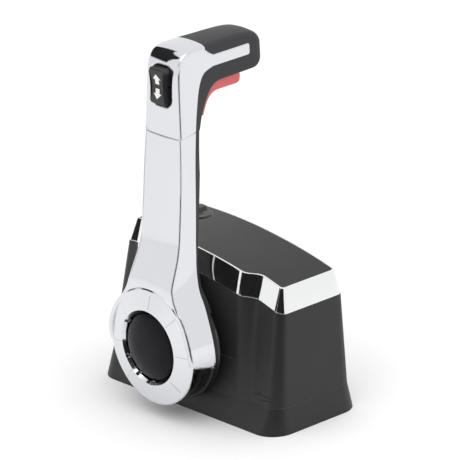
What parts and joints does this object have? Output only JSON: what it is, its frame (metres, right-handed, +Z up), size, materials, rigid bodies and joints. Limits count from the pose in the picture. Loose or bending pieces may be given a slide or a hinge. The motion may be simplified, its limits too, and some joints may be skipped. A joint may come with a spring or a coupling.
{
  "type": "boat throttle control lever",
  "caption": "Single-lever side control for a boat: black housing with a bright trim, chromed lever on a round hub, grip with trim rocker and red lock trigger.",
  "frame": {"origin": "middle of the base's underside, on the deck plane", "axes": "+Z up from the deck, lever axis along X with the hub on the -X side, +Y towards the bow (forward throw)"},
  "size_m": [0.1177, 0.186, 0.2715],
  "materials": {
    "housing_black": "fine moulded grain, matte black",
    "lid_satin": "smooth satin black",
    "hub_black": "smooth moulded black",
    "grip_black": "soft satin dark grey, slight grain",
    "cup_black": "matte black recess",
    "rocker_black": "satin black with white arrows",
    "button_gloss": "polished black",
    "switch_black": "satin black",
    "switch_body": "matte black switch case",
    "trigger_red": "moulded red",
    "bright_cover": "mirror plated",
    "bright_trim": "mirror plated strip",
    "bright_inlay": "mirror plated inlay",
    "satin_ring": "satin plated",
    "rubber_black": "moulded rubber",
    "steel": "turned stainless",
    "screw_steel": "stainless screws",
    "spring_steel": "drawn spring wire",
    "gear_steel": "hobbed steel, oiled",
    "zinc_plate": "zinc plated sheet",
    "bronze": "sintered bronze",
    "brass_pin": "turned brass",
    "frame_aluminium": "die cast"
  },
  "bodies": {
    "housing": {"base": "housing_black", "deck_gasket": "rubber_black", "upper_cover": "housing_black", "chrome_trim": "bright_trim", "lid_panel": "lid_satin", "cover_screws": "screw_steel", "stop_bezel": "switch_black", "stop_nut": "steel", "chassis": "zinc_plate", "shaft_bushes": "bronze", "chassis_screws": "screw_steel", "shaft_seal": "rubber_black", "detent_spring": "spring_steel", "detent_roller": "steel", "cable_anchor": "zinc_plate", "cable_clamp": "zinc_plate", "clamp_screw": "screw_steel", "neutral_switch": "switch_body"},
    "lever": {"main_shaft": "steel", "shaft_collar": "steel", "detent_disc": "steel", "drive_gear": "gear_steel", "throttle_arm": "zinc_plate", "throttle_pin": "brass_pin", "hub_core": "hub_black", "hub_ring": "satin_ring", "hub_nut": "screw_steel", "lever_frame": "frame_aluminium", "lever_lower_cover": "bright_cover", "lever_upper_cover": "bright_cover", "lever_back_cover": "hub_black", "lever_screws": "screw_steel", "grip": "grip_black", "grip_inlay": "bright_inlay", "rocker_cup": "cup_black", "rocker_pin": "steel", "button_spring": "spring_steel", "trigger_spring": "spring_steel"},
    "shift_gear": {"driven_gear": "gear_steel", "second_axle": "steel", "shift_arm": "zinc_plate", "shift_pin": "brass_pin"},
    "trim_rocker": {"trim_rocker": "rocker_black"},
    "neutral_button": {"neutral_button": "button_gloss"},
    "lock_trigger": {"lock_trigger": "trigger_red", "lock_rod": "steel"},
    "stop_plunger": {"stop_plunger": "switch_black"}
  },
  "joints": [
    {"name": "lever_turn", "type": "hinge", "parent": "housing", "child": "lever", "pos_m": [0, 0, 0.0534], "axis": [-1, 0, 0], "range_deg": [-60, 80]},
    {"name": "shift_turn", "type": "hinge", "parent": "housing", "child": "shift_gear", "pos_m": [0, -0.02298, 0.03042], "axis": [-1, 0, 0], "range_deg": [-80, 60]},
    {"name": "rocker_tip", "type": "hinge", "parent": "lever", "child": "trim_rocker", "pos_m": [-0.0436, 0, 0.2405], "axis": [0, 1, 0], "range_deg": [-9, 9], "stiffness_Nm_per_rad": 0.8},
    {"name": "button_press", "type": "slide", "parent": "lever", "child": "neutral_button", "axis": [1, 0, 0], "range_m": [0, 0.005], "stiffness_N_per_m": 700, "springref_m": -0.002, "deforming": ["button_spring"]},
    {"name": "trigger_lift", "type": "slide", "parent": "lever", "child": "lock_trigger", "axis": [0.1271, 0, 0.9919], "range_m": [0, 0.005], "stiffness_N_per_m": 600, "springref_m": -0.003, "deforming": ["trigger_spring"]},
    {"name": "stop_press", "type": "slide", "parent": "housing", "child": "stop_plunger", "axis": [0, -0.0054, -1], "range_m": [0, 0.0015], "stiffness_N_per_m": 900, "springref_m": -0.002}
  ],
  "couplings": [
    {"joint": "shift_turn", "follows": "lever_turn", "ratio": -1}
  ]
}
